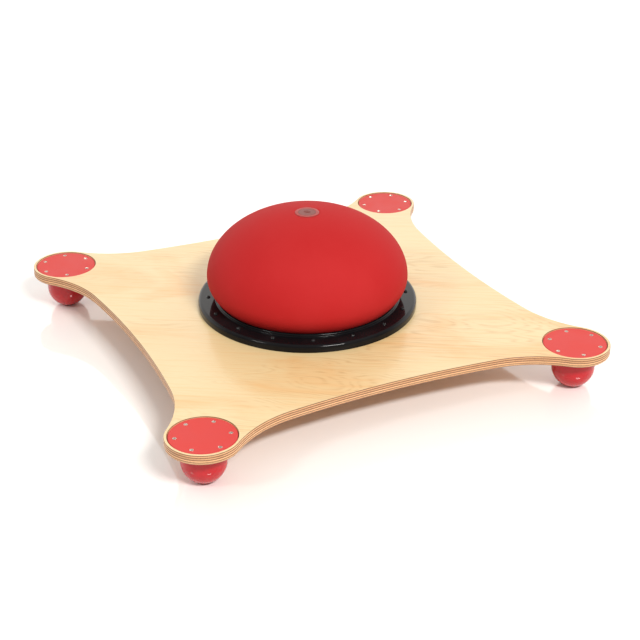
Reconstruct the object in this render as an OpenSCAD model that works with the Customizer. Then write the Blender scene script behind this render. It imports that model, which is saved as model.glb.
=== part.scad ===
// Balance dome trainer: a plywood board on four soft ball feet, with an air dome clamped at its middle.
// Millimetres, +Z up. The floor is z = 0, and the origin lies under the centre of the board.

/* [Board] */
// Distance between the centres of neighbouring feet
foot_spacing = 680; // [560:10:820]
// Thickness of the plywood
board_t = 18; // [15:1:24]
// How far the middle of a side lies inside the line that touches two lobes
side_dip = 76.5; // [60:0.5:95]
// Radius of the long shallow arc of each side
side_r = 1650; // [1300:50:2200]
// Radius of the hollow that joins a side to a lobe
hollow_r = 200; // [150:10:260]
// Wood left outside each corner cover
rim_w = 5; // [4:0.5:10]
// Material left below the tip of each screw in the board
tip_skin = 3; // [2:0.5:6]

/* [Feet] */
// Diameter of a foot's ball and neck
ball_d = 74; // [60:1:90]
// How far the ball is flattened where it stands
ball_flat = 1; // [0.5:0.1:2]
// Clear height under the board
foot_h = 62; // [50:1:80]
// Wall of the hollow ball
ball_wall = 8; // [5:0.5:12]
// Gap between the neck and its hole in the board
neck_gap = 0.6; // [0.4:0.1:1.5]
// Width of the ledge that carries a foot's flange
ledge_w = 17.4; // [14:0.2:24]
// Thickness of a foot's flange
flange_t = 4; // [3:0.5:5]
// Thickness of a corner cover
cover_t = 4; // [3:0.5:5]
// How far a cover lies below the board's top
cover_sink = 1; // [0.5:0.1:1.5]
// Gap round a corner cover
cover_gap = 0.75; // [0.3:0.05:1.5]
// Gap round a foot's flange
flange_gap = 1.2; // [0.5:0.1:2.5]
// Distance from the neck's hole to the screw circle
screw_inset = 5.7; // [5:0.1:9]
// Screws in each cover
cover_screws = 6; // [4:1:8]

/* [Dome] */
// Greatest diameter of the dome
dome_d = 355; // [290:5:430]
// Height of the dome's widest level above the board
widest_h = 55.5; // [46:0.5:67]
// Height from the widest level to the top of the dome
dome_rise = 118; // [96:0.2:140]
// Half height of the oval below the widest level
dome_under = 84; // [70:1:96]
// Wall of the dome
dome_wall = 4; // [3:0.5:6]
// Thickness of the dome's floor and clamped flange
clamp_t = 3.5; // [3:0.5:5]
// Distance from the base plate's edge to the flange's edge
flange_edge = 3.3; // [2:0.1:6]

/* [Clamp ring] */
// Thickness of the base plate under the dome
base_t = 6; // [5:0.5:10]
// Thickness of the ring over the flange
ring_t = 4.5; // [4:0.5:8]
// Height above the board at which the ring's lip meets the dome
touch_h = 18.4; // [15:0.1:22]
// Radius of the ring's rounded lip
lip_r = 2.5; // [1.5:0.5:4]
// Radius of the fillet at the lip's foot
lip_foot = 1.5; // [0.5:0.25:2]
// Clearance between the lip and the dome
lip_gap = 0.4; // [0.3:0.1:1]
// Distance from the lip's crest to the ring's outer edge
ring_w = 33; // [28:0.2:42]
// Radius of the ring's outer shoulder
shoulder_r = 6; // [3:0.5:7]
// Thickness of the ring's skirt
skirt_t = 3.4; // [2.5:0.1:5]
// Clearance between the base plate and the skirt
skirt_gap = 0.5; // [0.3:0.1:1]
// Distance from the ring's outer edge to its screw circle
ring_screw_inset = 18.2; // [14:0.2:24]
// Screws in the ring
ring_screws = 16; // [8:1:24]
// Radius of the circle of screws that hold the base plate
base_screw_r = 110; // [60:5:130]
// Screws in the base plate
base_screws = 8; // [4:1:12]

/* [Valve] */
// Diameter of the valve's collar
collar_d = 42; // [38:1:56]
// Thickness of the collar's flange
collar_t = 4; // [3.5:0.1:5]
// How far the collar stands above the dome at its edge
collar_proud = 0.8; // [0.3:0.1:2]
// Length of the collar below its top
collar_l = 15; // [12:1:20]
// Wall of the collar's tube
tube_wall = 4; // [2.5:0.5:6]
// Diameter of the plug's head
plug_d = 31; // [26:1:34]
// Thickness of the plug's head
plug_t = 2.2; // [1.8:0.1:2.6]
// Diameter of the plug's stem
stem_d = 9; // [6:0.5:12]
// Length of the plug's stem
stem_l = 11; // [8:1:16]
// Clearance round the plug's head and stem
plug_gap = 0.3; // [0.3:0.1:0.6]

/* [Screws] */
// Diameter of every screw's shank
shank_d = 4; // [3:0.5:5]
// Diameter of every screw's head
head_d = 6.8; // [5.5:0.1:8]
// Depth of a countersunk head
csk_h = 2.2; // [1.8:0.1:3]
// Height of a pan head above what it clamps
pan_h = 2; // [1.5:0.1:3]
// Clearance of a screw in a hard piece
screw_gap = 0.08; // [0.05:0.01:0.2]
// Clearance of a screw in a soft piece
soft_gap = 0.5; // [0.4:0.1:1]

/* [Hidden] */
$fn = 96;

front_left = [-1, -1];
front_right = [1, -1];
rear_left = [-1, 1];
rear_right = [1, 1];
corners = [front_left, front_right, rear_left, rear_right];

// levels, from the floor up
top_z = foot_h + board_t;
base_top = top_z + base_t;
clamp_top = base_top + clamp_t;
ring_flat = clamp_top + ring_t;
widest_z = top_z + widest_h;
cover_top = top_z - cover_sink;
flange_top = cover_top - cover_t;
pocket_z = flange_top - flange_t;
ball_r = ball_d / 2;
ball_z = ball_r - ball_flat;

// radii at a foot, and the circle of its screws
neck_hole_r = ball_r + neck_gap;
pocket_r = neck_hole_r + ledge_w;
cover_r = pocket_r - cover_gap;
flange_r = pocket_r - flange_gap;
lobe_r = pocket_r + rim_w;
cover_screw_r = neck_hole_r + screw_inset;

// plan of the board's side that faces -Y: a long arc, then a hollow that runs into a lobe
half = foot_spacing / 2;
waist = half + lobe_r - side_dip;
lobe_c = [half, -half];
side_c = [0, -waist - side_r];
to_lobe = unit(lobe_c - side_c);
lobe_dist = norm(lobe_c - side_c);
hollow_dist = side_r - hollow_r;
along = (hollow_dist ^ 2 - (lobe_r + hollow_r) ^ 2 + lobe_dist ^ 2) / (2 * lobe_dist);
across = sqrt(hollow_dist ^ 2 - along ^ 2);
hollow_c = side_c + along * to_lobe + across * [-to_lobe.y, to_lobe.x];
side_end = side_c + 2 * side_r * unit(hollow_c - side_c);

// section of the dome and the ring, as radius and height; the ring's toe stands off the dome
toe_gap = 2;
dome_r = dome_d / 2;
touch = [under_r(top_z + touch_h), top_z + touch_h];
touch_normal = unit([touch.x / dome_r ^ 2, (touch.y - widest_z) / dome_under ^ 2]);
lip_c = touch + (lip_r + lip_gap) * touch_normal;
toe_r = under_r(clamp_top) + toe_gap;
ring_r = lip_c.x + ring_w;
base_r = ring_r - skirt_t - skirt_gap;
dome_flange_r = base_r - flange_edge;
ring_screw_r = ring_r - ring_screw_inset;

// valve, the thicker wall that carries it, and the grip across its plug
boss_w = 8;
collar_r = collar_d / 2;
plug_r = plug_d / 2;
stem_r = stem_d / 2;
bore_r = stem_r + plug_gap;
tube_r = bore_r + tube_wall;
valve_top = widest_z + dome_rise * sqrt(1 - (collar_r / dome_r) ^ 2) + collar_proud;
seat_z = valve_top - collar_t;
boss_r = collar_r + boss_w;
boss_z = seat_z - dome_wall;
grip_l = 12;
grip_w = 2.4;
grip_depth = 1;

// screws: their points, their cross recess, and how deep they reach
plate_skin = 1.5;
shank_r = shank_d / 2;
head_r = head_d / 2;
tip_l = 4;
head_sink = 0.3;
recess_w = 1;
recess_l = 3.6;
recess_depth = 1.2;
cover_screw_l = board_t - cover_sink - tip_skin;
base_screw_l = base_t + board_t - tip_skin;
ring_screw_l = ring_t + clamp_t + base_t - plate_skin;

function unit(v) = v / norm(v);

// radius of the dome's outside at a height below its widest level
function under_r(z) = dome_r * sqrt(1 - ((widest_z - z) / dome_under) ^ 2);

// puts what is drawn at the origin on a corner, with its +X pointing at the middle of the board
module at_corner(c) {
    translate([c.x * half, c.y * half, 0]) rotate(atan2(-c.y, -c.x)) children();
}

module on_circle(r, count) {
    for (i = [0:count - 1])
        rotate(i * 360 / count) translate([r, 0, 0]) children();
}

// a screw's drive, cut down from z = 0
module drive() {
    for (turn = [0, 90])
        rotate(turn) translate([-recess_l / 2, -recess_w / 2, -recess_depth])
            cube([recess_l, recess_w, recess_depth + 1]);
}

// a countersunk screw whose head is flush with z = 0, or the hole that it leaves with a gap round it
module countersunk(length, gap = 0) {
    rotate_extrude()
        polygon([
            [0, 0], [head_r + gap, 0], [shank_r + gap, -csk_h],
            [shank_r + gap, -length + tip_l], [0, -length - gap]
        ]);
}

module countersunk_screw(length) {
    difference() {
        countersunk(length);
        drive();
    }
}

// a pan-head screw that clamps what lies below z = 0
module pan_screw(length) {
    difference() {
        rotate_extrude()
            polygon([
                [0, pan_h], [head_r * 0.55, pan_h], [head_r * 0.9, pan_h * 0.7], [head_r, 0],
                [shank_r, 0], [shank_r, -length + tip_l], [0, -length]
            ]);
        translate([0, 0, pan_h]) drive();
    }
}

module screw_bore(z, depth, gap) {
    translate([0, 0, z - depth]) cylinder(r = shank_r + gap, h = depth + 1);
}

module board_outline() {
    difference() {
        polygon([
            for (side = [0:3])
                for (p = [[-hollow_c.x, hollow_c.y], hollow_c, lobe_c])
                    [p.x * cos(90 * side) - p.y * sin(90 * side), p.x * sin(90 * side) + p.y * cos(90 * side)]
        ]);
        for (side = [0:3])
            rotate(90 * side) {
                intersection() {
                    translate(side_c) circle(side_r);
                    polygon([side_c, side_end, [-side_end.x, side_end.y]]);
                }
                for (s = [-1, 1])
                    translate([s * hollow_c.x, hollow_c.y]) circle(hollow_r);
            }
    }
    for (c = corners)
        translate(half * c) circle(lobe_r);
}

module board() {
    color("burlywood")
        difference() {
            translate([0, 0, foot_h]) linear_extrude(board_t) board_outline();
            for (c = corners)
                at_corner(c) {
                    translate([0, 0, pocket_z]) cylinder(r = pocket_r, h = top_z - pocket_z + 1);
                    translate([0, 0, foot_h - 1]) cylinder(r = neck_hole_r, h = board_t + 2);
                    on_circle(cover_screw_r, cover_screws)
                        translate([0, 0, cover_top]) countersunk(cover_screw_l, screw_gap);
                }
            on_circle(base_screw_r, base_screws)
                translate([0, 0, base_top - head_sink]) countersunk(base_screw_l, screw_gap);
        }
}

module base_plate() {
    color("dimgray")
        difference() {
            translate([0, 0, top_z]) cylinder(r = base_r, h = base_t);
            on_circle(base_screw_r, base_screws) {
                translate([0, 0, base_top - head_sink]) countersunk(base_screw_l, screw_gap);
                translate([0, 0, base_top - head_sink]) cylinder(r = head_r + screw_gap, h = head_sink + 1);
            }
            on_circle(ring_screw_r, ring_screws) screw_bore(base_top, base_t + 1, screw_gap);
        }
}

module base_plate_screws() {
    color("silver")
        on_circle(base_screw_r, base_screws)
            translate([0, 0, base_top - head_sink]) countersunk_screw(base_screw_l);
}

// half section of the dome, drawn in by a wall, with its floor at a height
module dome_section(wall, floor_z) {
    for (rise = [dome_rise, -dome_under])
        intersection() {
            translate([0, widest_z]) scale([1, (abs(rise) - wall) / (dome_r - wall)]) circle(dome_r - wall);
            translate([0, rise > 0 ? widest_z : floor_z])
                square([dome_r, rise > 0 ? dome_rise : widest_z - floor_z]);
        }
}

module dome_shell() {
    color("firebrick")
        difference() {
            rotate_extrude()
                difference() {
                    union() {
                        dome_section(0, base_top);
                        translate([0, base_top]) square([dome_flange_r, clamp_t]);
                    }
                    difference() {
                        dome_section(dome_wall, clamp_top);
                        translate([0, boss_z]) square([boss_r, 4 * dome_wall]);
                    }
                    translate([0, seat_z]) square([collar_r + screw_gap, collar_t + 2]);
                    translate([0, boss_z - 1]) square([tube_r + screw_gap, dome_wall + 2]);
                }
            on_circle(ring_screw_r, ring_screws) screw_bore(clamp_top, clamp_t + 1, soft_gap);
        }
}

module ring_section() {
    polygon([[toe_r, clamp_top], [lip_c.x, clamp_top], lip_c, [lip_c.x - lip_r, lip_c.y]]);
    translate(lip_c) circle(lip_r);
    translate([lip_c.x, clamp_top]) square([lip_r, lip_c.y - clamp_top]);
    translate([lip_c.x + lip_r, ring_flat])
        difference() {
            square(lip_foot);
            translate([lip_foot, lip_foot]) circle(lip_foot);
        }
    translate([lip_c.x, clamp_top]) square([ring_w - shoulder_r, ring_t]);
    difference() {
        intersection() {
            translate([ring_r - shoulder_r, ring_flat - shoulder_r]) circle(shoulder_r);
            translate([ring_r - shoulder_r, ring_flat - shoulder_r]) square(shoulder_r);
        }
        translate([ring_r - 2 * shoulder_r, 0]) square([2 * shoulder_r - skirt_t, clamp_top]);
    }
    translate([ring_r - skirt_t, top_z]) square([skirt_t, ring_flat - shoulder_r - top_z]);
}

module clamp_ring() {
    color([0.1, 0.1, 0.1])
        difference() {
            rotate_extrude() ring_section();
            on_circle(ring_screw_r, ring_screws) screw_bore(ring_flat, ring_t + 1, screw_gap);
        }
}

module clamp_ring_screws() {
    color([0.2, 0.2, 0.2])
        on_circle(ring_screw_r, ring_screws) translate([0, 0, ring_flat]) pan_screw(ring_screw_l);
}

module valve_collar() {
    color("indianred")
        rotate_extrude()
            difference() {
                union() {
                    translate([0, seat_z]) square([collar_r, collar_t]);
                    translate([0, valve_top - collar_l]) square([tube_r, collar_l]);
                }
                translate([0, valve_top - plug_t]) square([plug_r + plug_gap, plug_t + 1]);
                translate([0, valve_top - collar_l - 1]) square([bore_r, collar_l + 2]);
            }
}

module valve_plug() {
    color("rosybrown") {
        difference() {
            rotate_extrude() {
                translate([0, valve_top - plug_t]) square([plug_r, plug_t]);
                translate([0, valve_top - plug_t - stem_l]) square([stem_r, stem_l + 1]);
            }
            translate([0, 0, valve_top - grip_depth])
                difference() {
                    cylinder(d = grip_l, h = grip_depth + 1);
                    translate([-grip_l, -grip_w / 2, -1]) cube([2 * grip_l, grip_w, grip_depth + 3]);
                }
        }
    }
}

module foot_ball(c) {
    color("firebrick")
        at_corner(c)
            difference() {
                rotate_extrude()
                    difference() {
                        union() {
                            intersection() {
                                translate([0, ball_z]) circle(ball_r);
                                square([ball_r, ball_z]);
                            }
                            translate([0, ball_z]) square([ball_r, flange_top - ball_z]);
                            translate([0, pocket_z]) square([flange_r, flange_t]);
                        }
                        intersection() {
                            translate([0, ball_z]) circle(ball_r - ball_wall);
                            square([ball_r, ball_z]);
                        }
                        translate([0, ball_z]) square([ball_r - ball_wall, top_z - ball_z]);
                    }
                on_circle(cover_screw_r, cover_screws) screw_bore(flange_top, flange_t + 1, soft_gap);
            }
}

module foot_cover(c) {
    color("indianred")
        at_corner(c)
            difference() {
                translate([0, 0, flange_top]) cylinder(r = cover_r, h = cover_t);
                on_circle(cover_screw_r, cover_screws)
                    translate([0, 0, cover_top]) countersunk(cover_screw_l, screw_gap);
            }
}

module screw_set(c) {
    color("silver")
        at_corner(c)
            on_circle(cover_screw_r, cover_screws)
                translate([0, 0, cover_top]) countersunk_screw(cover_screw_l);
}

board();
base_plate();
base_plate_screws();
dome_shell();
clamp_ring();
clamp_ring_screws();
valve_collar();
valve_plug();
foot_ball(front_left);  // foot_ball_front_left
foot_ball(front_right);  // foot_ball_front_right
foot_ball(rear_left);  // foot_ball_rear_left
foot_ball(rear_right);  // foot_ball_rear_right
foot_cover(front_left);  // foot_cover_front_left
foot_cover(front_right);  // foot_cover_front_right
foot_cover(rear_left);  // foot_cover_rear_left
foot_cover(rear_right);  // foot_cover_rear_right
screw_set(front_left);  // cover_screws_front_left
screw_set(front_right);  // cover_screws_front_right
screw_set(rear_left);  // cover_screws_rear_left
screw_set(rear_right);  // cover_screws_rear_right
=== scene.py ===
import math
import bmesh
import bpy
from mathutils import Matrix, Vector


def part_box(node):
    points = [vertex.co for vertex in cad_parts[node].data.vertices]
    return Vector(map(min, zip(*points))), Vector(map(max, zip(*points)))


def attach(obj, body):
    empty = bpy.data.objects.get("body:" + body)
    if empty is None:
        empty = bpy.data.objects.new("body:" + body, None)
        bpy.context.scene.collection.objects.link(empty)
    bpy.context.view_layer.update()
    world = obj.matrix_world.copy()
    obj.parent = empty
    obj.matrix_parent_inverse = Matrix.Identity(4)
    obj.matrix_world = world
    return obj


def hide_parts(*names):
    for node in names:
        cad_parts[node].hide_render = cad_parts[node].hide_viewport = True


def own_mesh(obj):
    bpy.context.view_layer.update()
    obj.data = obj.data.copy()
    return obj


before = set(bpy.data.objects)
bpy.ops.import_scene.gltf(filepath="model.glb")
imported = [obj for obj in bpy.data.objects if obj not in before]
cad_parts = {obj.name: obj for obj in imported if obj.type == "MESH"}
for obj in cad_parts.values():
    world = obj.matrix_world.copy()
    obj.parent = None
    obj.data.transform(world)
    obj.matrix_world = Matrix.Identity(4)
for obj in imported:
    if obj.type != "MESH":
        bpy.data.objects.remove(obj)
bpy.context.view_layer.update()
mm = 0.001
corners = ("front_left", "front_right", "rear_left", "rear_right")
collarFlange = 4 * mm  # thickness of the valve collar's flange, which sits in the dome
collarTube = 8.8 * mm  # radius of the collar's tube, which passes through the dome


# camera

cameraValues = {
    "azimuth": -26.11,  # degrees round the object, 0 looks along +Y
    "elevation": 27.2,
    "distance": 2.6333,
    "target": (-0.0118, -0.0752, 0.080),
    "lens": 84.88,
}


def makeCamera(v):
    turn = math.radians(v["azimuth"])
    lift = math.radians(v["elevation"])
    back = Vector((math.sin(turn) * math.cos(lift), -math.cos(turn) * math.cos(lift), math.sin(lift)))
    data = bpy.data.cameras.new("studioCamera")
    data.lens = v["lens"]
    data.dof.use_dof = False
    camera = bpy.data.objects.new("studioCamera", data)
    camera.location = Vector(v["target"]) + v["distance"] * back
    camera.rotation_euler = back.to_track_quat("Z", "Y").to_euler()
    bpy.context.scene.collection.objects.link(camera)
    bpy.context.scene.camera = camera


makeCamera(cameraValues)
print("camera placed")

# node helpers


def addNode(tree, kind, inputs=None, **settings):
    made = tree.nodes.new(kind)
    for name, value in settings.items():
        setattr(made, name, value)
    for name, value in (inputs or {}).items():
        if isinstance(value, bpy.types.NodeSocket):
            tree.links.new(value, made.inputs[name])
        else:
            made.inputs[name].default_value = value
    return made


def maths(tree, operation, a, b=0.0, clamp=False):
    return addNode(tree, "ShaderNodeMath", {0: a, 1: b}, operation=operation, use_clamp=clamp).outputs[0]


def plus(tree, a, b, clamp=False):
    return maths(tree, "ADD", a, b, clamp)


def times(tree, a, b):
    return maths(tree, "MULTIPLY", a, b)


def mixColour(tree, factor, a, b):
    return addNode(tree, "ShaderNodeMix", {0: factor, 6: a, 7: b}, data_type="RGBA").outputs[2]


def noise(tree, vector, scale, detail=2.0, stretch=(1, 1, 1), distortion=0.0):
    placed = addNode(tree, "ShaderNodeMapping", {"Vector": vector, "Scale": stretch}).outputs[0]
    inputs = {"Vector": placed, "Scale": scale, "Detail": detail, "Distortion": distortion}
    return addNode(tree, "ShaderNodeTexNoise", inputs).outputs[0]


def fade(tree, value, low, high, toLow=0.0, toHigh=1.0):
    inputs = {"Value": value, "From Min": low, "From Max": high, "To Min": toLow, "To Max": toHigh}
    return addNode(tree, "ShaderNodeMapRange", inputs, interpolation_type="SMOOTHSTEP").outputs[0]


def newGroup(name, kind, inputs, outputs):
    tree = bpy.data.node_groups.new(name, kind)
    for socket, form, *value in inputs:
        made = tree.interface.new_socket(socket, in_out="INPUT", socket_type="NodeSocket" + form)
        if value:
            made.default_value = value[0]
    for socket, form in outputs:
        tree.interface.new_socket(socket, in_out="OUTPUT", socket_type="NodeSocket" + form)
    return tree, tree.nodes.new("NodeGroupInput").outputs, tree.nodes.new("NodeGroupOutput").inputs


def feed(tree, target, values):
    for name, value in values.items():
        tree.links.new(value, target[name])


# shader groups that several finishes share


def woodFigureGroup():
    inputs = [("Vector", "Vector"), ("Lines per metre", "Float", 105.0)]
    outputs = [("Figure", "Float"), ("Streaks", "Float"), ("Patches", "Float"), ("Flecks", "Float")]
    tree, given, result = newGroup("woodFigure", "ShaderNodeTree", inputs, outputs)
    grain = given["Vector"]  # x runs along the grain
    across = addNode(tree, "ShaderNodeSeparateXYZ", {0: grain}).outputs["Y"]
    drift = noise(tree, grain, 1.0, 3.0, (1.7, 6.0, 3), 0.5)  # slow wander of the year lines
    lines = plus(tree, across, times(tree, drift, 0.30))
    turns = times(tree, times(tree, lines, given["Lines per metre"]), math.tau)
    wave = times(tree, maths(tree, "SINE", turns), 0.5)
    arcs = maths(tree, "POWER", plus(tree, wave, 0.5), 2.5)  # thin dark lines with wide pale wood between
    where = fade(tree, noise(tree, grain, 1.0, 2.0, (2.6, 7, 4)), 0.42, 0.66, 0.15, 1.0)
    broken = fade(tree, noise(tree, grain, 1.0, 3.0, (14, 190, 60)), 0.35, 0.65)
    figure = times(tree, times(tree, arcs, where), broken)
    streaks = fade(tree, noise(tree, grain, 1.0, 5.0, (8, 210, 60), 0.15), 0.46, 0.78)
    patches = fade(tree, noise(tree, grain, 1.0, 4.0, (3.4, 8.5, 4), 1.1), 0.46, 0.70)
    flecks = fade(tree, noise(tree, grain, 1.0, 2.0, (38, 820, 300)), 0.64, 0.76)
    feed(tree, result, {"Figure": figure, "Streaks": streaks, "Patches": patches, "Flecks": flecks})
    return tree


def mouldedGrainGroup():
    # fine grain of a moulded surface, on a slow waviness
    inputs = [("Vector", "Vector"), ("Scale", "Float", 900.0), ("Waviness", "Float", 0.3)]
    tree, given, result = newGroup("mouldedGrain", "ShaderNodeTree", inputs, [("Height", "Float")])
    cells = noise(tree, given["Vector"], given["Scale"])
    waves = noise(tree, given["Vector"], 22.0, 1.0)
    feed(tree, result, {"Height": plus(tree, cells, times(tree, waves, given["Waviness"]))})
    return tree


def handlingGroup():
    # soft smudges and fine scratches, for roughness and a little colour
    inputs = [("Vector", "Vector"), ("Smudge scale", "Float", 14.0), ("Scratch density", "Float", 0.5)]
    outputs = [("Smudges", "Float"), ("Scratches", "Float")]
    tree, given, result = newGroup("handlingMarks", "ShaderNodeTree", inputs, outputs)
    smudges = fade(tree, noise(tree, given["Vector"], given["Smudge scale"], 4.0), 0.4, 0.68)
    sets = []
    for angle, stretch in ((0.4, (6, 420, 60)), (1.9, (9, 520, 80))):  # two sets of scratches that cross
        placing = {"Vector": given["Vector"], "Rotation": (0.3, 0.2, angle)}
        lying = addNode(tree, "ShaderNodeMapping", placing).outputs[0]
        sets.append(fade(tree, noise(tree, lying, 1.0, 1.0, stretch), 0.7, 0.76))
    scratches = times(tree, maths(tree, "MAXIMUM", *sets), given["Scratch density"])
    feed(tree, result, {"Smudges": smudges, "Scratches": scratches})
    return tree


def plyStackGroup():
    # tells the face veneers from the core, and numbers the core's pairs of plies upwards
    inputs = [("Height", "Float"), ("Bottom", "Float"), ("Thickness", "Float", 0.018),
              ("Face veneer", "Float", 0.0011), ("Pairs", "Float", 4.0), ("Turned share", "Float", 0.36)]
    outputs = [("Core", "Float"), ("Glue", "Float"), ("Turned", "Float"), ("Number", "Float")]
    tree, given, result = newGroup("plyStack", "ShaderNodeTree", inputs, outputs)
    above = maths(tree, "SUBTRACT", given["Height"], given["Bottom"])
    fromEnd = maths(tree, "MINIMUM", above, maths(tree, "SUBTRACT", given["Thickness"], above))
    core = maths(tree, "GREATER_THAN", fromEnd, given["Face veneer"])
    coreThickness = maths(tree, "SUBTRACT", given["Thickness"], times(tree, given["Face veneer"], 2.0))
    share = maths(tree, "DIVIDE", maths(tree, "SUBTRACT", above, given["Face veneer"]), coreThickness)
    level = times(tree, share, given["Pairs"])  # each pair is a thin turned ply under a thick one
    number = maths(tree, "FLOOR", level)
    within = maths(tree, "FRACT", level)
    turned = maths(tree, "LESS_THAN", within, given["Turned share"])
    toStep = maths(tree, "ABSOLUTE", maths(tree, "SUBTRACT", within, given["Turned share"]))
    toPair = maths(tree, "MINIMUM", within, maths(tree, "SUBTRACT", 1.0, within))
    toEdge = maths(tree, "MINIMUM", toPair, toStep)
    glue = times(tree, fade(tree, toEdge, 0.03, 0.09, 1.0, 0.0), core)
    feed(tree, result, {"Core": core, "Glue": glue, "Turned": turned, "Number": number})
    return tree


woodFigure = woodFigureGroup()
mouldedGrain = mouldedGrainGroup()
handlingMarks = handlingGroup()
plyStack = plyStackGroup()
print("shader groups built")

# finishes


def newFinish(name, **fixed):
    material = bpy.data.materials.new(name)
    material.use_nodes = True
    tree = material.node_tree
    shader = tree.nodes["Principled BSDF"]
    for socket, value in fixed.items():
        shader.inputs[socket.replace("_", " ")].default_value = value
    return material, tree, shader, addNode(tree, "ShaderNodeTexCoord").outputs


def useGroup(tree, group, inputs):
    return addNode(tree, "ShaderNodeGroup", inputs, node_tree=group).outputs


def bump(tree, shader, height, distance):
    raised = addNode(tree, "ShaderNodeBump", {"Height": height, "Distance": distance, "Strength": 1.0})
    tree.links.new(raised.outputs[0], shader.inputs["Normal"])


plywoodValues = {
    "grainAngle": -31.0,  # degrees of the face grain from +X
    "faceVeneer": 1.1 * mm,
    "plyPairs": 4.0,
    "turnedShare": 0.36,  # of a pair's thickness
    "pale": (0.72, 0.555, 0.295, 1),
    "tan": (0.71, 0.43, 0.175, 1),
    "streak": (0.46, 0.24, 0.08, 1),
    "under": (0.68, 0.36, 0.17, 1),  # the bottom veneer, painted darker and redder than the top veneer as painted shade, to warm the shade under the board
    "plyFace": (0.90, 0.53, 0.27, 1),
    "plyEnd": (0.25, 0.085, 0.028, 1),
    "scorch": (0.20, 0.08, 0.03, 1),  # the cut edge of a face veneer
    "glue": (0.09, 0.035, 0.012, 1),
    "patchTan": 0.7,  # how far patches and streaks tan the pale wood
    "streakTan": 0.4,
    "figureDark": 0.42,  # how far year lines and flecks darken it
    "fleckDark": 0.3,
    "endDark": 0.22,  # how far end grain and turned plies darken the edge
    "turnedDark": 0.7,
    "plySpread": 0.35,  # difference in tone from one pair of plies to the next
    "glueDark": 0.85,
    "lacquer": 0.35,  # coat on the faces
    "edgeLacquer": 0.05,
    "lacquerRoughness": 0.16,
    "scorchFade": (0.8, 0.94),  # how upright a face's normal is where its cut edge ends
    "roughness": 0.36,
    "smudgeScale": 9.0,
    "smudgeRough": 0.06,  # what smudges, the core and streaks add to the roughness
    "coreRough": 0.1,
    "streakRough": 0.08,
    "relief": 0.08 * mm,
    "fleckRelief": -0.6,  # flecks and streaks are sunk, and the core's fibres stand out
    "streakRelief": -0.4,
    "fibreRelief": 1.2,
}


def plywoodTop(tree, figure, v):
    warm = times(tree, figure["Patches"], v["patchTan"])
    warm = plus(tree, warm, times(tree, figure["Streaks"], v["streakTan"]), clamp=True)
    dark = times(tree, figure["Figure"], v["figureDark"])
    dark = plus(tree, dark, times(tree, figure["Flecks"], v["fleckDark"]), clamp=True)
    return mixColour(tree, dark, mixColour(tree, warm, v["pale"], v["tan"]), v["streak"])


def plywoodEdge(tree, where, stack, fibres, angle, v):
    ends = []
    for turn in (angle, angle + math.pi / 2):
        fibre = (math.cos(turn), math.sin(turn), 0)
        facing = {0: where["Normal"], 1: fibre}
        along = addNode(tree, "ShaderNodeVectorMath", facing, operation="DOT_PRODUCT")
        ends.append(maths(tree, "POWER", maths(tree, "ABSOLUTE", along.outputs["Value"]), 1.5))
    choice = {0: stack["Turned"], 2: ends[1], 3: ends[0]}
    endGrain = addNode(tree, "ShaderNodeMix", choice, data_type="FLOAT").outputs[0]
    specks = noise(tree, where["Object"], 1.0, 2.0, (600, 600, 900))
    tone = plus(tree, times(tree, endGrain, v["endDark"]), times(tree, stack["Turned"], v["turnedDark"]))
    tone = plus(tree, tone, fade(tree, fibres, 0.42, 0.7, -0.1, 0.2))
    tone = plus(tree, tone, fade(tree, specks, 0.45, 0.75, 0.0, 0.25), clamp=True)
    shade = addNode(tree, "ShaderNodeTexWhiteNoise", {"W": stack["Number"]}, noise_dimensions="1D")
    offset = maths(tree, "SUBTRACT", shade.outputs["Value"], 0.5)
    tone = plus(tree, tone, times(tree, offset, v["plySpread"]), clamp=True)
    edge = mixColour(tree, tone, v["plyFace"], v["plyEnd"])
    return mixColour(tree, times(tree, stack["Glue"], v["glueDark"]), edge, v["glue"])


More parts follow.
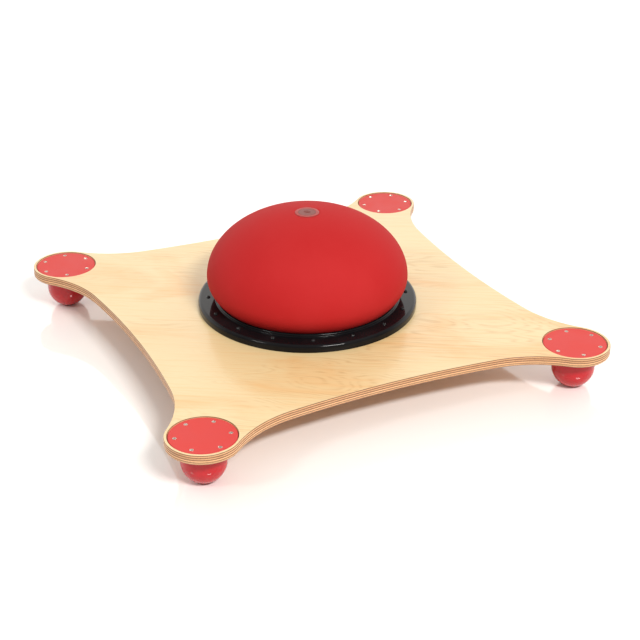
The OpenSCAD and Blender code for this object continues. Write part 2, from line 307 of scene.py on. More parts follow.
def plywoodFinish(v):
    material, tree, shader, where = newFinish("birchPlywood", Coat_Roughness=v["lacquerRoughness"])
    angle = math.radians(v["grainAngle"])
    turning = {"Vector": where["Object"], "Rotation": (0, 0, -angle)}
    grain = addNode(tree, "ShaderNodeMapping", turning).outputs[0]
    figure = useGroup(tree, woodFigure, {"Vector": grain})
    low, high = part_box("board")
    height = addNode(tree, "ShaderNodeSeparateXYZ", {0: where["Object"]}).outputs["Z"]
    stack = useGroup(tree, plyStack, {"Height": height, "Bottom": low.z, "Thickness": high.z - low.z,
                                      "Face veneer": v["faceVeneer"], "Pairs": v["plyPairs"],
                                      "Turned share": v["turnedShare"]})
    fibres = noise(tree, where["Object"], 1.0, 3.0, (55, 55, 1900))

    # below the board's middle the face takes the darker underside colour, which is painted shade
    upper = maths(tree, "GREATER_THAN", height, (low.z + high.z) / 2)
    face = mixColour(tree, upper, v["under"], plywoodTop(tree, figure, v))
    upright = addNode(tree, "ShaderNodeSeparateXYZ", {0: where["Normal"]}).outputs["Z"]
    cut = fade(tree, maths(tree, "ABSOLUTE", upright), *v["scorchFade"])
    face = mixColour(tree, cut, v["scorch"], face)
    edge = plywoodEdge(tree, where, stack, fibres, angle, v)
    tree.links.new(mixColour(tree, stack["Core"], face, edge), shader.inputs["Base Color"])

    marks = useGroup(tree, handlingMarks, {"Vector": where["Object"], "Smudge scale": v["smudgeScale"]})
    rough = times(tree, marks["Smudges"], v["smudgeRough"])
    rough = plus(tree, rough, times(tree, stack["Core"], v["coreRough"]))
    rough = plus(tree, rough, times(tree, figure["Streaks"], v["streakRough"]))
    tree.links.new(plus(tree, rough, v["roughness"]), shader.inputs["Roughness"])
    coat = fade(tree, stack["Core"], 0.0, 1.0, v["lacquer"], v["edgeLacquer"])
    tree.links.new(coat, shader.inputs["Coat Weight"])
    relief = times(tree, figure["Flecks"], v["fleckRelief"])
    relief = plus(tree, relief, times(tree, figure["Streaks"], v["streakRelief"]))
    relief = plus(tree, relief, times(tree, times(tree, fibres, stack["Core"]), v["fibreRelief"]))
    bump(tree, shader, relief, v["relief"])
    return material


# colour and worn colour; grain is the scale of the moulded grain and depth its height,
# scratches and smudge are the handling marks, and spread is how far smudges roughen the surface
mouldedValues = {
    "dome_rubber": dict(
        name="domeRubber", colour=(0.435, 0.016, 0.017, 1), worn=(0.47, 0.028, 0.028, 1), roughness=0.68,
        grain=1100.0, depth=0.03 * mm, scratches=0.15, smudge=9.0, spread=0.08, Specular_IOR_Level=0.1),
    "foot_rubber": dict(
        name="footRubber", colour=(0.49, 0.006, 0.012, 1), worn=(0.51, 0.013, 0.02, 1), roughness=0.045,
        grain=500.0, depth=0.004 * mm, scratches=0.2, smudge=30.0, spread=0.03),
    "cover_plastic": dict(
        name="coverPlastic", colour=(0.58, 0.04, 0.035, 1), worn=(0.62, 0.06, 0.05, 1), roughness=0.46,
        grain=1500.0, depth=0.03 * mm, scratches=0.5, smudge=24.0, spread=0.1, Specular_IOR_Level=0.25),
    "black_plastic": dict(
        name="blackPlastic", colour=(0.005, 0.005, 0.006, 1), worn=(0.014, 0.014, 0.015, 1), roughness=0.08,
        grain=700.0, depth=0.006 * mm, scratches=0.35, smudge=18.0, spread=0.03, IOR=1.25),
    "valve_rubber": dict(
        name="valveRubber", colour=(0.34, 0.045, 0.04, 1), worn=(0.38, 0.075, 0.065, 1), roughness=0.45,
        grain=1400.0, depth=0.02 * mm, scratches=0.3, smudge=40.0, spread=0.1, Specular_IOR_Level=0.3),
    "plug_plastic": dict(
        name="plugPlastic", colour=(0.20, 0.06, 0.052, 1), worn=(0.24, 0.08, 0.07, 1), roughness=0.5,
        grain=1400.0, depth=0.02 * mm, scratches=0.4, smudge=60.0, spread=0.1, Specular_IOR_Level=0.3),
    "black_screw": dict(
        name="blackenedSteel", colour=(0.006, 0.006, 0.007, 1), worn=(0.05, 0.05, 0.05, 1), roughness=0.14,
        grain=1600.0, depth=0.01 * mm, scratches=0.5, smudge=90.0, spread=0.08),
    "steel_screw": dict(
        name="platedSteel", colour=(0.62, 0.56, 0.50, 1), worn=(0.44, 0.38, 0.32, 1), roughness=0.26,
        grain=1600.0, depth=0.01 * mm, scratches=0.6, smudge=90.0, spread=0.14, Metallic=1.0),
}


handlingValues = {
    "smudgeWear": 0.35,  # how far smudges and scratches show the worn colour
    "scratchWear": 0.5,
    "scratchRough": 0.2,  # what scratches add to the roughness
}


def mouldedFinish(name, colour, worn, roughness, grain, depth, scratches, smudge, spread, **fixed):
    material, tree, shader, where = newFinish(name, **fixed)
    spot = where["Object"]
    handling = {"Vector": spot, "Smudge scale": smudge, "Scratch density": scratches}
    marks = useGroup(tree, handlingMarks, handling)
    v = handlingValues
    wear = times(tree, marks["Smudges"], v["smudgeWear"])
    wear = plus(tree, wear, times(tree, marks["Scratches"], v["scratchWear"]))
    tree.links.new(mixColour(tree, wear, colour, worn), shader.inputs["Base Color"])
    rough = times(tree, marks["Smudges"], spread)
    rough = plus(tree, rough, times(tree, marks["Scratches"], v["scratchRough"]))
    tree.links.new(plus(tree, rough, roughness, clamp=True), shader.inputs["Roughness"])
    height = useGroup(tree, mouldedGrain, {"Vector": spot, "Scale": grain})[0]
    bump(tree, shader, height, depth)
    return material


finishes = {"birch_plywood": plywoodFinish(plywoodValues)}
for slot, values in mouldedValues.items():
    finishes[slot] = mouldedFinish(**values)
print("finishes built:", len(finishes))

# geometry node trees


def whole(tree, operation, a, b):
    return addNode(tree, "FunctionNodeIntegerMath", {0: a, 1: b}, operation=operation).outputs[0]


def finishTree(tree, shape, finish, result):
    real = addNode(tree, "GeometryNodeRealizeInstances", {"Geometry": shape}).outputs[0]
    done = addNode(tree, "GeometryNodeSetMaterial", {"Geometry": real, "Material": finish}).outputs[0]
    feed(tree, result, {"Geometry": done})


def turnedTree():
    # turns a profile, given as points (radius, 0, height), round an upright axis
    inputs = [("Profile", "Geometry"), ("Segments", "Int", 96), ("Centre", "Vector"), ("Finish", "Material")]
    tree, given, result = newGroup("turnedPart", "GeometryNodeTree", inputs, [("Geometry", "Geometry")])
    count = addNode(tree, "GeometryNodeAttributeDomainSize", {0: given["Profile"]}).outputs["Point Count"]
    columns = whole(tree, "ADD", given["Segments"], 1)
    grid = addNode(tree, "GeometryNodeMeshGrid", {"Vertices X": columns, "Vertices Y": count}).outputs[0]
    index = addNode(tree, "GeometryNodeInputIndex").outputs[0]
    row = whole(tree, "MODULO", index, count)
    column = whole(tree, "DIVIDE_FLOOR", index, count)
    place = addNode(tree, "GeometryNodeInputPosition").outputs[0]
    sample = addNode(tree, "GeometryNodeSampleIndex", data_type="FLOAT_VECTOR", domain="POINT")
    feed(tree, sample.inputs, {"Geometry": given["Profile"], "Value": place, "Index": row})
    profile = addNode(tree, "ShaderNodeSeparateXYZ", {0: sample.outputs[0]}).outputs
    angle = maths(tree, "DIVIDE", times(tree, column, math.tau), given["Segments"])
    x = times(tree, profile["X"], maths(tree, "COSINE", angle))
    y = times(tree, profile["X"], maths(tree, "SINE", angle))
    point = addNode(tree, "ShaderNodeCombineXYZ", {"X": x, "Y": y, "Z": profile["Z"]}).outputs[0]
    moved = addNode(tree, "ShaderNodeVectorMath", {0: point, 1: given["Centre"]}, operation="ADD").outputs[0]
    shaped = addNode(tree, "GeometryNodeSetPosition", {"Geometry": grid, "Position": moved}).outputs[0]
    joining = {"Geometry": shaped, "Distance": 0.004 * mm}
    merged = addNode(tree, "GeometryNodeMergeByDistance", joining).outputs[0]
    finishTree(tree, merged, given["Finish"], result)
    return tree


def screwCircleTree():
    # copies one screw round a circle, each turned by a random angle
    inputs = [("Screw", "Geometry"), ("Count", "Int", 6), ("Radius", "Float", 0.04),
              ("First angle", "Float"), ("Centre", "Vector"), ("Seed", "Int"), ("Finish", "Material")]
    tree, given, result = newGroup("screwCircle", "GeometryNodeTree", inputs, [("Geometry", "Geometry")])
    spread = {"Vertices": given["Count"], "Radius": given["Radius"]}
    circle = addNode(tree, "GeometryNodeMeshCircle", spread).outputs[0]
    turn = addNode(tree, "ShaderNodeCombineXYZ", {"Z": given["First angle"]}).outputs[0]
    placing = {"Geometry": circle, "Translation": given["Centre"], "Rotation": turn}
    placed = addNode(tree, "GeometryNodeTransform", placing)
    drive = addNode(tree, "FunctionNodeRandomValue", {3: math.pi / 2}, data_type="FLOAT")
    tree.links.new(given["Seed"], drive.inputs["Seed"])
    spin = addNode(tree, "ShaderNodeCombineXYZ", {"Z": drive.outputs[1]}).outputs[0]
    copies = addNode(tree, "GeometryNodeInstanceOnPoints",
                     {"Points": placed.outputs[0], "Instance": given["Screw"], "Rotation": spin}).outputs[0]
    finishTree(tree, copies, given["Finish"], result)
    return tree


turnedPart = turnedTree()
screwCircle = screwCircleTree()


def grow(name, source, tree, values):
    # runs a node tree on a mesh and keeps the result as a plain mesh
    piece = bpy.data.objects.new(name, source)
    bpy.context.scene.collection.objects.link(piece)
    modifier = piece.modifiers.new("grow", "NODES")
    modifier.node_group = tree
    for item in tree.interface.items_tree:
        if item.in_out == "INPUT" and item.name in values:
            modifier[item.identifier] = values[item.name]
    graph = bpy.context.evaluated_depsgraph_get()
    mesh = bpy.data.meshes.new_from_object(piece.evaluated_get(graph))
    piece.modifiers.remove(modifier)
    piece.data = mesh
    return piece


def smooth(mesh, sharpAngle, weld):
    if weld:
        bm = bmesh.new()
        bm.from_mesh(mesh)
        bmesh.ops.remove_doubles(bm, verts=bm.verts, dist=0.002 * mm)
        bmesh.ops.recalc_face_normals(bm, faces=bm.faces)
        bm.to_mesh(mesh)
        bm.free()
    mesh.shade_smooth()
    mesh.set_sharp_from_angle(angle=math.radians(sharpAngle))


def seat(piece, body, slot, *nodes):
    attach(piece, body)
    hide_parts(*nodes)
    print("made", piece.name, len(piece.data.polygons), "faces")


def arc(centre, radius, start, end, steps):
    # points of a round arc in the profile plane, angles in degrees
    points = []
    for i in range(steps + 1):
        a = math.radians(start + (end - start) * i / steps)
        points.append((centre[0] + radius * math.cos(a), centre[1] + radius * math.sin(a)))
    return points


def turned(name, profile, slot, centre=(0, 0, 0), segments=96, sharpAngle=35.0):
    source = bpy.data.meshes.new(name)
    source.from_pydata([(r, 0, z) for r, z in profile], [], [])
    values = {"Segments": segments, "Centre": centre, "Finish": finishes[slot]}
    piece = grow(name, source, turnedPart, values)
    smooth(piece.data, sharpAngle, weld=True)
    return piece


# plates: a rim and holes, each a list of rings of points from the top face down to the bottom face


def ringOf(points, z):
    return [(x, y, z) for x, y in points]


def circlePoints(centre, radius, count):
    turns = [math.tau * i / count for i in range(count)]
    return [(centre[0] + radius * math.cos(a), centre[1] + radius * math.sin(a)) for a in turns]


def roundOutline(centre, radius, count):
    # pairs of a point and its outward normal
    rays = [Vector(p) for p in circlePoints((0, 0), 1, count)]
    return [(Vector(centre) + radius * ray, ray) for ray in rays]


def buildPlate(name, rim, holes, slot, sharpAngle):
    bm = bmesh.new()
    top, bottom = [], []
    for rings in [rim] + holes:
        loops = [[bm.verts.new(p) for p in ring] for ring in rings]
        for upper, lower in zip(loops, loops[1:]):
            for i in range(len(upper)):
                bm.faces.new((upper[i - 1], upper[i], lower[i], lower[i - 1]))
        top.append(loops[0])
        if rings[-1][0][2] > rim[-1][0][2] + 0.01 * mm:
            bm.faces.new(loops[-1])  # a blind hole has its own floor
        else:
            bottom.append(loops[-1])
    for loops in (top, bottom):
        edges = [bm.edges.get((loop[i - 1], loop[i])) for loop in loops for i in range(len(loop))]
        bmesh.ops.triangle_fill(bm, edges=edges, use_beauty=True)
    bmesh.ops.recalc_face_normals(bm, faces=bm.faces)
    mesh = bpy.data.meshes.new(name)
    bm.to_mesh(mesh)
    bm.free()
    mesh.materials.append(finishes[slot])
    smooth(mesh, sharpAngle, weld=False)
    piece = bpy.data.objects.new(name, mesh)
    bpy.context.scene.collection.objects.link(piece)
    return piece


def roundedRim(outline, topZ, bottomZ, edge, underEdge, steps, margin):
    # outline holds (point, outward normal); the edge is rounded above and below,
    # and a flat margin keeps shading even

    def level(inset, z):
        return [(p.x - n.x * inset, p.y - n.y * inset, z) for p, n in outline]

    rings = [level(edge + margin, topZ)]
    for i in range(steps + 1):
        a = math.pi / 2 * i / steps
        rings.append(level(edge * (1 - math.sin(a)), topZ - edge * (1 - math.cos(a))))
    for i in range(steps + 1):
        a = math.pi / 2 * i / steps
        rings.append(level(underEdge * (1 - math.cos(a)), bottomZ + underEdge * (1 - math.sin(a))))
    rings.append(level(underEdge + margin, bottomZ))
    return rings


# board

boardValues = {
    "sideRadius": 1650 * mm,  # long shallow arc of each side
    "waist": 323.5 * mm,  # from the middle of the board to the middle of a side
    "hollowRadius": 200 * mm,
    "coverGap": 0.75 * mm,
    "edge": 1.0 * mm,  # rounding of the board's outer edge, above
    "underEdge": 5.0 * mm,  # and below
    "pocketEdge": 0.5 * mm,
    "neckHole": 37.6 * mm,
    "pocketFloor": 9 * mm,  # depth of a corner's whole pocket, below the board's top
    "margin": 1 * mm,  # flat strip inside the rounding
    "step": 3.5 * mm,  # spacing of points along the outline
}


def spin(p, turn):
    return Vector((p.x * math.cos(turn) - p.y * math.sin(turn), p.x * math.sin(turn) + p.y * math.cos(turn)))


def boardOutline(v, half, lobeRadius):
    sideCentre = Vector((0, -v["waist"] - v["sideRadius"]))
    lobeCentre = Vector((half, -half))
    toLobe = lobeCentre - sideCentre
    reach = v["sideRadius"] - v["hollowRadius"]
    join = lobeRadius + v["hollowRadius"]
    along = (reach ** 2 - join ** 2 + toLobe.length_squared) / (2 * toLobe.length)
    across = math.sqrt(reach ** 2 - along ** 2)
    ahead = toLobe.normalized()
    hollowCentre = sideCentre + along * ahead + across * Vector((-ahead.y, ahead.x))

    def angleOf(direction):
        return math.atan2(direction.y, direction.x)

    sideEnd = angleOf(hollowCentre - sideCentre)
    hollowEnd = angleOf(lobeCentre - hollowCentre)
    lobeStart = angleOf(hollowCentre - lobeCentre)
    mirrored = Vector((-hollowCentre.x, hollowCentre.y))
    # centre, radius, first and last angle, and whether the wood lies inside the arc
    pieces = [
        (mirrored, v["hollowRadius"], math.pi - hollowEnd, math.pi - sideEnd, False),
        (sideCentre, v["sideRadius"], math.pi - sideEnd, sideEnd, False),
        (hollowCentre, v["hollowRadius"], sideEnd, hollowEnd, False),
        (lobeCentre, lobeRadius, lobeStart, -math.pi / 2 - lobeStart, True),
    ]
    outline = []
    for quarter in range(4):
        turn = quarter * math.pi / 2
        for centre, radius, start, end, convex in pieces:
            steps = max(8, round(abs(end - start) * radius / v["step"]))
            for i in range(steps):
                a = start + (end - start) * i / steps
                ray = Vector((math.cos(a), math.sin(a)))
                point = centre + radius * ray
                normal = ray if convex else -ray
                outline.append((spin(point, turn), spin(normal, turn)))
    return outline


def makeBoard(v):
    low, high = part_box("board")
    holes = []
    for corner in corners:
        coverLow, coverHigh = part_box("foot_cover_" + corner)
        centre = (coverLow + coverHigh) / 2
        pocket = (coverHigh.x - coverLow.x) / 2 + v["coverGap"]
        floorZ = high.z - v["pocketFloor"]
        e = v["pocketEdge"]
        neck = v["neckHole"]
        steps = [(pocket + 2 * e, high.z), (pocket + e, high.z), (pocket, high.z - e), (pocket, floorZ)]
        steps += [(neck, floorZ), (neck, low.z + e), (neck + e, low.z), (neck + 2 * e, low.z)]
        holes.append([ringOf(circlePoints(centre, r, 160), z) for r, z in steps])
    half = abs(centre.x)
    outline = boardOutline(v, half, high.x - half)
    rim = roundedRim(outline, high.z, low.z, v["edge"], v["underEdge"], 8, v["margin"])
    piece = buildPlate("plywoodBoard", rim, holes, "birch_plywood", 50.0)
    seat(piece, "board", "birch_plywood", "board")


makeBoard(boardValues)

# dome, in two pieces that meet behind the ring's lip: the skin above, which flattens when it is pressed,
# and the wall and flange below, which the ring clamps

domeValues = {
    "radius": 177.5 * mm,
    "widest": 135.5 * mm,  # height of the widest level
    "rise": 118 * mm,
    "under": 84 * mm,
    "touch": 98.4 * mm,  # height at which the ring's lip touches the dome, and where its two pieces meet
    "wall": 4 * mm,
    "floor": 3.5 * mm,
    "flangeEdge": 0.5 * mm,
    "valveGap": 0.1 * mm,
    "mouthRim": 0.4 * mm,  # width and depth of the bevel round the valve's seat
    "mouthDrop": 0.3 * mm,
    "boss": 8 * mm,
}


def domeRadiusAt(v, z, inset=0.0):
    # radius of the lower oval, drawn in by the wall for the inside
    return (v["radius"] - inset) * math.sqrt(1 - ((v["widest"] - z) / (v["under"] - inset)) ** 2)


def ovalRun(v, inset, startZ, endRadius, steps=72):
    # points up the dome's section, from a height below the widest level to a radius near the top
    low = math.asin((startZ - v["widest"]) / (v["under"] - inset))
    high = math.acos(endRadius / (v["radius"] - inset))
    points = []
    for i in range(steps + 1):
        a = low + (high - low) * i / steps
        tall = v["rise"] if a > 0 else v["under"]
        points.append(((v["radius"] - inset) * math.cos(a), v["widest"] + (tall - inset) * math.sin(a)))
    return points


def makeSkin(v):
    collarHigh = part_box("valve_collar")[1]
    seatZ = collarHigh.z - collarFlange
    collar = collarHigh.x + v["valveGap"]
    tube = collarTube + v["valveGap"]
    bossZ = seatZ - v["wall"]
    outside = ovalRun(v, 0, v["touch"], collar + v["mouthRim"])
    inside = ovalRun(v, v["wall"], v["touch"], collar + v["boss"])
    mouth = [(collar, outside[-1][1] - v["mouthDrop"]), (collar, seatZ), (tube, seatZ)]
    boss = [(tube, bossZ), (collar + v["boss"], bossZ)]
    profile = outside + mouth + boss + inside[::-1] + [outside[0]]
    skin = turned("domeSkin", profile, "dome_rubber", segments=224, sharpAngle=50.0)
    seat(skin, "dome_crown", "dome_rubber", "dome_shell")
    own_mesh(skin)


def makeDomeFlange(v):
    low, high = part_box("dome_shell")
    floorTop = low.z + v["floor"]
    steps = 12
    levels = [floorTop + (v["touch"] - floorTop) * i / steps for i in range(steps + 1)]
    outer = [(domeRadiusAt(v, z), z) for z in levels]
    inner = [(domeRadiusAt(v, z, v["wall"]), z) for z in levels]
    e = v["flangeEdge"]
    edge = [(high.x - e, low.z), (high.x, low.z + e), (high.x, floorTop - e), (high.x - e, floorTop)]
    profile = [(0, low.z)] + edge + outer + inner[::-1] + [(0, floorTop)]
    flange = turned("domeFlange", profile, "dome_rubber", segments=192)
    seat(flange, "board", "dome_rubber", "dome_shell")


makeSkin(domeValues)
makeDomeFlange(domeValues)

# clamp ring

ringValues = {
    "toeGap": 2 * mm,  # between the toe and the dome
    "clampTop": 89.5 * mm,  # height of the face that holds the flange down
    "flat": 94 * mm,  # height of the ring's flat top
    "lip": 2.5 * mm,
    "lipGap": 0.4 * mm,
    "fillet": 1.5 * mm,  # between the lip and the flat
    "shoulder": 6 * mm,
    "skirt": 3.4 * mm,
    "foot": 0.6 * mm,  # rounding at the foot of the skirt
    "screwInset": 18.2 * mm,
    "screws": 16,
}


def lipPlace(v, dome):
    # the lip's centre lies off the dome along its normal at the touch
    touch = Vector((domeRadiusAt(dome, dome["touch"]), dome["touch"]))
    normal = Vector((touch.x / dome["radius"] ** 2, (touch.y - dome["widest"]) / dome["under"] ** 2))
    return touch + (v["lip"] + v["lipGap"]) * normal.normalized()


def makeRing(v):
    low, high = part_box("clamp_ring")
    outer = high.x
    lip = lipPlace(v, domeValues)
    flat = v["flat"]
    toe = domeRadiusAt(domeValues, v["clampTop"]) + v["toeGap"]
    profile = [(toe, v["clampTop"])]
    profile += arc(lip, v["lip"], 180, 0, 20)
    profile += arc((lip.x + v["lip"] + v["fillet"], flat + v["fillet"]), v["fillet"], 180, 270, 8)
    profile += arc((outer - v["shoulder"], flat - v["shoulder"]), v["shoulder"], 90, 0, 14)
    profile += arc((outer - v["foot"], low.z + v["foot"]), v["foot"], 0, -90, 4)
    inside = outer - v["skirt"]
    profile += [(inside, low.z), (inside, v["clampTop"]), (toe, v["clampTop"])]
    ring = turned("ringMoulding", profile, "black_plastic", segments=224, sharpAngle=40.0)
    seat(ring, "board", "black_plastic", "clamp_ring")


makeRing(ringValues)

# ball feet

footValues = {
    "flat": 1 * mm,  # how far the ball is flattened on the floor
    "wall": 8 * mm,
    "ball": 37 * mm,
    "flange": 4 * mm,
}


def makeFoot(v, corner):
    low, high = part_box("foot_ball_" + corner)
    centre = ((low.x + high.x) / 2, (low.y + high.y) / 2, 0)
    middle = v["ball"] - v["flat"]
    inner = v["ball"] - v["wall"]
    contact = -math.degrees(math.asin(middle / v["ball"]))
    flange = (high.x - low.x) / 2
    under = high.z - v["flange"]
    profile = [(0, low.z)] + arc((0, middle), v["ball"], contact, 0, 36)
    profile += [(v["ball"], under), (flange, under), (flange, high.z), (inner, high.z)]
    profile += arc((0, middle), inner, 0, -90, 20)
    foot = turned("ballFoot_" + corner, profile, "foot_rubber", centre, 96, 60.0)
    seat(foot, "foot_" + corner, "foot_rubber", "foot_ball_" + corner)
    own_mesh(foot)


for corner in corners:
    makeFoot(footValues, corner)

# corner discs and every screw

discValues = {
    "edge": 0.8 * mm,
    "underEdge": 0.3 * mm,
    "margin": 0.5 * mm,
    "drawnIn": 0.5 * mm,  # how much smaller the disc is than its solid, so that its gap reads
    "screws": 6,
    "screwCircle": 43.3 * mm,
    "sink": 3.48 * mm,  # radius of a countersink at the top
    "sinkDepth": 2.2 * mm,
    "bore": 2.08 * mm,
}


def makeDisc(v, corner):
    low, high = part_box("foot_cover_" + corner)
    centre = (low + high) / 2
    radius = (high.x - low.x) / 2 - v["drawnIn"]
    outline = roundOutline((centre.x, centre.y), radius, 160)
    rim = roundedRim(outline, high.z, low.z, v["edge"], v["underEdge"], 5, v["margin"])
    first = math.atan2(-centre.y, -centre.x)
    holes = []
    for i in range(v["screws"]):
        a = first + math.tau * i / v["screws"]
        spot = (centre.x + v["screwCircle"] * math.cos(a), centre.y + v["screwCircle"] * math.sin(a))
        steps = [(v["sink"], high.z), (v["bore"], high.z - v["sinkDepth"]), (v["bore"], low.z)]
        holes.append([ringOf(circlePoints(spot, r, 24), z) for r, z in steps])
    disc = buildPlate("cornerDisc_" + corner, rim, holes, "cover_plastic", 40.0)
    seat(disc, "board", "cover_plastic", "foot_cover_" + corner)


crossValues = {
    "arm": 2.3 * mm,  # half length of the drive at the top
    "width": 1.25 * mm,  # half width of an arm
    "depth": 1.7 * mm,
    "taper": 0.6,  # of the arm and width, at the bottom
    "sides": 24,  # of the head and shank
}


def crossPoints(arm, width):
    points = []
    for quarter in range(4):
        c, s = math.cos(quarter * math.pi / 2), math.sin(quarter * math.pi / 2)
        for x, y in ((arm, -width), (arm, width), (width, width)):
            points.append((x * c - y * s, x * s + y * c))
    return points


def screwSource(name, profile, v):
    # profile runs from the flat round the drive, down the head and the shank, to the point
    top = profile[0][1]
    rim = [ringOf(circlePoints((0, 0), r, v["sides"]), z) for r, z in profile[:-1]]
    tip = profile[-1][1]
    bm = bmesh.new()
    loops = [[bm.verts.new(p) for p in ring] for ring in rim]
    for upper, lower in zip(loops, loops[1:]):
        for i in range(len(upper)):
            bm.faces.new((upper[i - 1], upper[i], lower[i], lower[i - 1]))
    point = bm.verts.new((0, 0, tip))
    for i in range(v["sides"]):
        bm.faces.new((loops[-1][i - 1], loops[-1][i], point))
    mouth = [bm.verts.new(p) for p in ringOf(crossPoints(v["arm"], v["width"]), top)]
    narrow = crossPoints(v["arm"] * v["taper"], v["width"] * v["taper"])
    deep = [bm.verts.new(p) for p in ringOf(narrow, top - v["depth"])]
    for i in range(len(mouth)):
        bm.faces.new((mouth[i - 1], mouth[i], deep[i], deep[i - 1]))
    bm.faces.new(deep)
    edges = [bm.edges.get((loop[i - 1], loop[i])) or bm.edges.new((loop[i - 1], loop[i]))
             for loop in (loops[0], mouth) for i in range(len(loop))]
    bmesh.ops.triangle_fill(bm, edges=edges, use_beauty=True)
    bmesh.ops.recalc_face_normals(bm, faces=bm.faces)
    mesh = bpy.data.meshes.new(name)
    bm.to_mesh(mesh)
    bm.free()
    return mesh


# radius and height in millimetres, measured from the face that the screw is driven into
discScrew = [(2.4, 0.25), (2.9, 0.18), (3.25, 0.02), (3.38, -0.15), (3.38, -0.3),
             (2.0, -2.2), (2.0, -11), (0, -15)]
ringScrew = [(2.4, 2.0), (2.8, 1.8), (3.15, 1.35), (3.38, 0.7), (3.4, 0),
             (2.0, 0), (2.0, -8.5), (0, -12.5)]


def makeScrews(name, profile, slot, node, values):
    source = screwSource(name, [(r * mm, z * mm) for r, z in profile], crossValues)
    piece = grow(name, source, screwCircle, dict(values, Finish=finishes[slot]))
    smooth(piece.data, 40.0, weld=False)
    seat(piece, "board", slot, node)


for number, corner in enumerate(corners):
    makeDisc(discValues, corner)
    low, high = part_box("foot_cover_" + corner)
    centre = (low + high) / 2
    around = {"Count": discValues["screws"], "Radius": discValues["screwCircle"], "Seed": number,
              "First angle": math.atan2(-centre.y, -centre.x), "Centre": (centre.x, centre.y, high.z)}
    makeScrews("discScrews_" + corner, discScrew, "steel_screw", "cover_screws_" + corner, around)

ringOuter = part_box("clamp_ring")[1].x
around = {"Count": ringValues["screws"], "Radius": ringOuter - ringValues["screwInset"], "Seed": 7,
          "First angle": 0.0, "Centre": (0, 0, ringValues["flat"])}
makeScrews("ringScrews", ringScrew, "black_screw", "clamp_ring_screws", around)

# valve

valveValues = {
    "bore": 4.8 * mm,
    "seatGap": 0.3 * mm,
    "edge": 0.5 * mm,
    "mouthEdge": 0.3 * mm,
    "plugHead": 2.2 * mm,
    "plugEdge": 0.4 * mm,
    "plugUnderEdge": 0.2 * mm,
    "plugMargin": 0.3 * mm,
    "stem": 4.5 * mm,
    "stemTip": 0.5 * mm,  # bevel at the stem's end
    "grip": 6 * mm,  # radius of the grip's round recess
    "gripBar": 1.2 * mm,  # half width of the bar across it
    "gripDepth": 1 * mm,
    "gripSlope": 0.3 * mm,  # how far the recess narrows to its floor, at its round side
    "barSlope": 0.2 * mm,  # and beside the bar
    "sides": 128,
}


def halfMoon(radius, bar, side, steps=14):
    # one half of the recess beside the grip's bar
    reach = math.asin(bar / radius)
    turns = [reach + (math.pi - 2 * reach) * i / steps for i in range(steps + 1)]
    return [(radius * math.cos(a) * side, radius * math.sin(a) * side) for a in turns]


def makeCollar(v, recess, mouth):
    low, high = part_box("valve_collar")
    e = v["edge"]
    under = high.z - collarFlange
    profile = [(mouth, recess), (mouth, high.z - v["mouthEdge"]), (mouth + v["mouthEdge"], high.z)]
    profile += arc((high.x - e, high.z - e), e, 90, 0, 5)
    profile += [(high.x, under), (collarTube, under), (collarTube, low.z)]
    profile += [(v["bore"], low.z), (v["bore"], recess), (mouth, recess)]
    collar = turned("valveRing", profile, "valve_rubber", segments=v["sides"])
    seat(collar, "dome_crown", "valve_rubber", "valve_collar")


def makePlug(v, recess):
    low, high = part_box("valve_plug")
    outline = roundOutline((0, 0), high.x, v["sides"])
    rim = roundedRim(outline, high.z, recess, v["plugEdge"], v["plugUnderEdge"], 4, v["plugMargin"])
    tip = v["stemTip"]
    for radius, z in ((v["stem"], recess), (v["stem"], low.z + tip), (v["stem"] - tip, low.z)):
        rim.append(ringOf(circlePoints((0, 0), radius, v["sides"]), z))
    holes = []
    for side in (1, -1):
        shape = halfMoon(v["grip"], v["gripBar"], side)
        deep = halfMoon(v["grip"] - v["gripSlope"], v["gripBar"] + v["barSlope"], side)
        holes.append([ringOf(shape, high.z), ringOf(deep, high.z - v["gripDepth"])])
    plug = buildPlate("valveStopper", rim, holes, "plug_plastic", 40.0)
    seat(plug, "valve_plug", "plug_plastic", "valve_plug")


def makeValve(v):
    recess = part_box("valve_collar")[1].z - v["plugHead"]
    makeCollar(v, recess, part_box("valve_plug")[1].x + v["seatGap"])
    makePlug(v, recess)


makeValve(valveValues)

# the base plate and its screws lie under the dome and keep their own meshes
for node, slot in (("base_plate", "black_plastic"), ("base_plate_screws", "steel_screw")):
    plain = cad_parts[node]
    plain.data.materials.clear()
    plain.data.materials.append(finishes[slot])

# floor and light

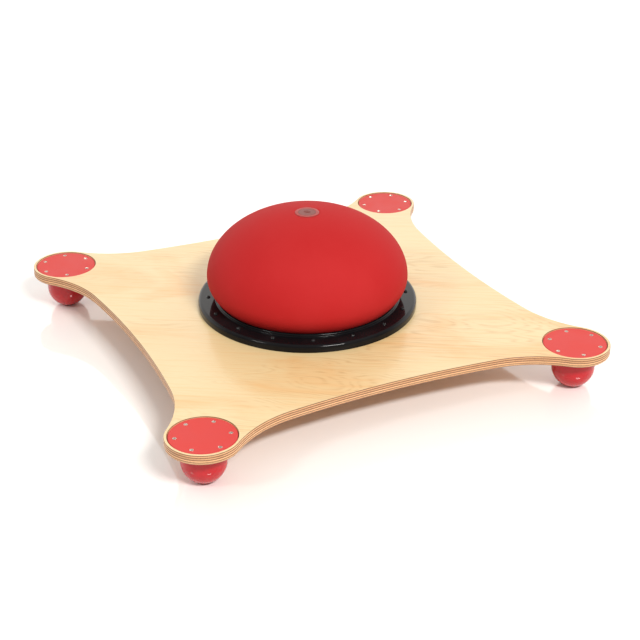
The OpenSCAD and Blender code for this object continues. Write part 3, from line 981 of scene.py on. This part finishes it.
studioValues = {
    "floorSize": 60.0,
    "floorColour": (0.93, 0.925, 0.915, 1),
    "floorRoughness": 0.07,
    "floorIor": 1.8,
    "backdrop": (1.85, 1.80, 1.74, 1),
    "room": (0.36, 0.335, 0.32, 1),  # the dim side, behind the camera
    "ceiling": (0.60, 0.575, 0.55, 1),
    "backdropSide": (0.44, 0.90, 0.0),
    "sideFade": (-0.25, 0.6),  # where the dim side turns into the backdrop
    "ceilingFade": (0.48, 0.68),  # and where both turn into the ceiling
}

# name, place, size, power in watts, colour
lights = [
    ("keyPanel", (0.36, -5.10, 4.80), (2.2, 0.75), 400, (1.0, 0.975, 0.945)),
    ("leftStrip", (-5.40, -0.87, 4.27), (1.3, 0.5), 75, (1.0, 0.975, 0.95)),
]


def makeSky(v):
    world = bpy.data.worlds.new("studioWorld")
    world.use_nodes = True
    tree = world.node_tree
    ray = addNode(tree, "ShaderNodeTexCoord").outputs["Generated"]
    up = maths(tree, "ABSOLUTE", addNode(tree, "ShaderNodeSeparateXYZ", {0: ray}).outputs["Z"])
    side = addNode(tree, "ShaderNodeVectorMath", {0: ray, 1: v["backdropSide"]}, operation="DOT_PRODUCT")
    around = mixColour(tree, fade(tree, side.outputs["Value"], *v["sideFade"]), v["room"], v["backdrop"])
    colour = mixColour(tree, fade(tree, up, *v["ceilingFade"]), around, v["ceiling"])
    tree.links.new(colour, tree.nodes["Background"].inputs["Color"])
    bpy.context.scene.world = world


def makeFloor(v):
    size = v["floorSize"] / 2
    mesh = bpy.data.meshes.new("studioFloor")
    points = [(-size, -size, 0), (size, -size, 0), (size, size, 0), (-size, size, 0)]
    mesh.from_pydata(points, [], [(0, 1, 2, 3)])
    paint = {"Roughness": v["floorRoughness"], "Base_Color": v["floorColour"], "IOR": v["floorIor"]}
    mesh.materials.append(newFinish("floorPaint", **paint)[0])
    floor = bpy.data.objects.new("studioFloor", mesh)
    bpy.context.scene.collection.objects.link(floor)


def makeStudio(v):
    makeFloor(v)
    makeSky(v)
    for name, place, size, power, colour in lights:
        data = bpy.data.lights.new(name, "AREA")
        data.shape = "RECTANGLE"
        data.size, data.size_y = size
        data.energy = power
        data.color = colour
        lamp = bpy.data.objects.new(name, data)
        lamp.location = place
        lamp.rotation_euler = Vector(place).to_track_quat("Z", "Y").to_euler()
        bpy.context.scene.collection.objects.link(lamp)
    bpy.context.scene.view_settings.view_transform = "Standard"


makeStudio(studioValues)
print("studio lit with", len(lights), "panels")
